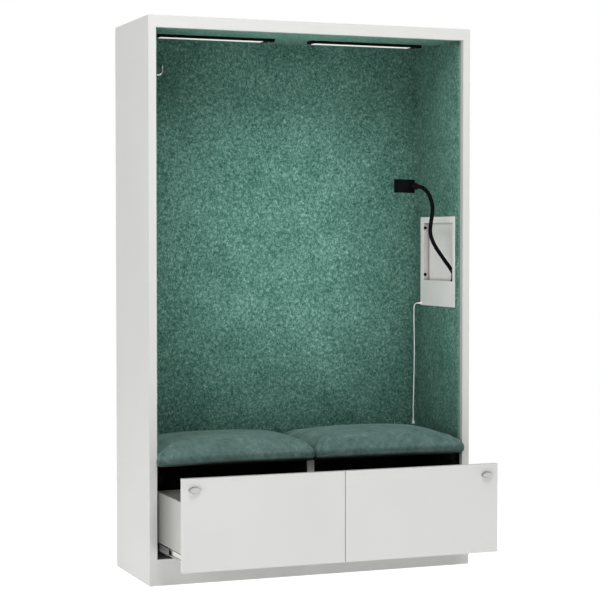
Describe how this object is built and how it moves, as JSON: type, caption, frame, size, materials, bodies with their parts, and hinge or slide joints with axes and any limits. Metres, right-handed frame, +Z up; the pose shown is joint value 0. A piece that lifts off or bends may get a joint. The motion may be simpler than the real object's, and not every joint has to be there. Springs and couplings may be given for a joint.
{
  "type": "office wardrobe",
  "caption": "Open felt-lined coat bay over an upholstered seat and lockable steel drawers on telescopic runners, with ceiling lamps and a charging niche with a phone arm.",
  "frame": {"origin": "on the floor, midway across and midway through the depth, at the underside of the middle foot", "axes": "+X to the right seen from the front, +Y from the front to the back, +Z up"},
  "size_m": [1.2, 0.7083, 1.93],
  "materials": {
    "board": "light grey melamine-faced board, matt",
    "drawer_board": "light grey melamine-faced board, matt",
    "felt": "mottled green pressed felt, matt",
    "upholstery": "plain grey-green woven cover, matt",
    "dark_plywood": "dark stained plywood, matt",
    "liner_black": "black, matt",
    "grip_white": "light grey lacquer, satin",
    "painted_sheet": "light grey powder coat, satin",
    "zinc_steel": "zinc plated, satin",
    "satin_chrome": "satin",
    "lamp_black": "black anodised, satin",
    "lamp_opal": "opal, matt",
    "lamp_button": "satin",
    "niche_white": "off-white powder coat, satin",
    "screw_black": "black, satin",
    "black_plastic": "black, matt",
    "ferrule_black": "black anodised, satin",
    "arm_rubber": "black, matt",
    "white_plastic": "white, satin",
    "lead_sheath": "white, satin"
  },
  "bodies": {
    "cabinet": {"side_panel_left": "board", "side_panel_right": "board", "top_panel": "board", "top_rail": "board", "bottom_panel": "board", "plinth_front": "board", "plinth_back": "board", "centre_partition": "board", "back_panel": "board", "seat_cleats": "dark_plywood", "lining_back": "felt", "lining_left": "felt", "lining_right": "felt", "lining_ceiling": "felt", "levelling_feet": "black_plastic", "foot_sockets": "black_plastic", "seat_board_left": "dark_plywood", "seat_board_right": "dark_plywood", "seat_cushion_left": "upholstery", "seat_cushion_right": "upholstery", "lamp_housing_left": "lamp_black", "lamp_housing_right": "lamp_black", "lamp_diffuser_left": "lamp_opal", "lamp_diffuser_right": "lamp_opal", "niche_cover": "niche_white", "niche_tray": "niche_white", "niche_screws": "screw_black", "charger_module": "black_plastic", "lead_gland": "white_plastic", "charge_lead": "lead_sheath", "lead_connector": "white_plastic", "arm_base": "black_plastic", "coat_hooks": "satin_chrome", "lock_strikes": "screw_black", "runner_cabinet_members": "zinc_steel", "drawer_liners": "liner_black"},
    "lamp_button_left": {"lamp_button_left": "lamp_button"},
    "lamp_button_right": {"lamp_button_right": "lamp_button"},
    "arm": {"gooseneck": "arm_rubber", "arm_ferrules": "ferrule_black"},
    "holder": {"holder_back": "black_plastic"},
    "jaw": {"holder_jaw": "black_plastic"},
    "drawer_left": {"drawer_front_left": "drawer_board", "drawer_sides_left": "painted_sheet", "drawer_back_left": "painted_sheet", "drawer_bottom_left": "painted_sheet", "runner_drawer_left": "zinc_steel", "lock_body_left": "satin_chrome"},
    "runner_left": {"runner_middle_left": "zinc_steel"},
    "lock_left": {"lock_grip_left": "grip_white", "lock_cam_left": "zinc_steel"},
    "drawer_right": {"drawer_front_right": "drawer_board", "drawer_sides_right": "painted_sheet", "drawer_back_right": "painted_sheet", "drawer_bottom_right": "painted_sheet", "runner_drawer_right": "zinc_steel", "lock_body_right": "satin_chrome"},
    "runner_right": {"runner_middle_right": "zinc_steel"},
    "lock_right": {"lock_grip_right": "grip_white", "lock_cam_right": "zinc_steel"}
  },
  "joints": [
    {"name": "drawer_left_slide", "type": "slide", "parent": "cabinet", "child": "drawer_left", "axis": [0, -1, 0], "range_m": [-0.28, 0.07]},
    {"name": "runner_left_slide", "type": "slide", "parent": "cabinet", "child": "runner_left", "axis": [0, -1, 0], "range_m": [-0.14, 0.035]},
    {"name": "lock_left_turn", "type": "hinge", "parent": "drawer_left", "child": "lock_left", "pos_m": [-0.53, -0.4875, 0.363], "axis": [0, 1, 0], "range_deg": [0, 90]},
    {"name": "drawer_right_slide", "type": "slide", "parent": "cabinet", "child": "drawer_right", "axis": [0, -1, 0], "range_m": [-0.28, 0.07]},
    {"name": "runner_right_slide", "type": "slide", "parent": "cabinet", "child": "runner_right", "axis": [0, -1, 0], "range_m": [-0.14, 0.035]},
    {"name": "lock_right_turn", "type": "hinge", "parent": "drawer_right", "child": "lock_right", "pos_m": [0.53, -0.4875, 0.363], "axis": [0, -1, 0], "range_deg": [0, 90]},
    {"name": "lamp_left_button", "type": "slide", "parent": "cabinet", "child": "lamp_button_left", "axis": [0, 0, 1], "range_m": [0, 0.002], "stiffness_N_per_m": 900, "springref_m": -0.001},
    {"name": "lamp_right_button", "type": "slide", "parent": "cabinet", "child": "lamp_button_right", "axis": [0, 0, 1], "range_m": [0, 0.002], "stiffness_N_per_m": 900, "springref_m": -0.001},
    {"name": "arm_swivel", "type": "hinge", "parent": "cabinet", "child": "arm", "pos_m": [0.573, -0.132, 1.03], "axis": [0, 0, 1], "range_deg": [-55, 20]},
    {"name": "holder_tilt", "type": "hinge", "parent": "arm", "child": "holder", "pos_m": [0.42961, -0.11832, 1.3683], "axis": [0.887, 0.4617, 0], "range_deg": [-60, 60]},
    {"name": "jaw_slide", "type": "slide", "parent": "holder", "child": "jaw", "axis": [-0.887, -0.4617, 0], "range_m": [0, 0.018], "stiffness_N_per_m": 300, "springref_m": -0.01}
  ],
  "couplings": [
    {"joint": "runner_left_slide", "follows": "drawer_left_slide", "ratio": 0.5},
    {"joint": "runner_right_slide", "follows": "drawer_right_slide", "ratio": 0.5}
  ]
}
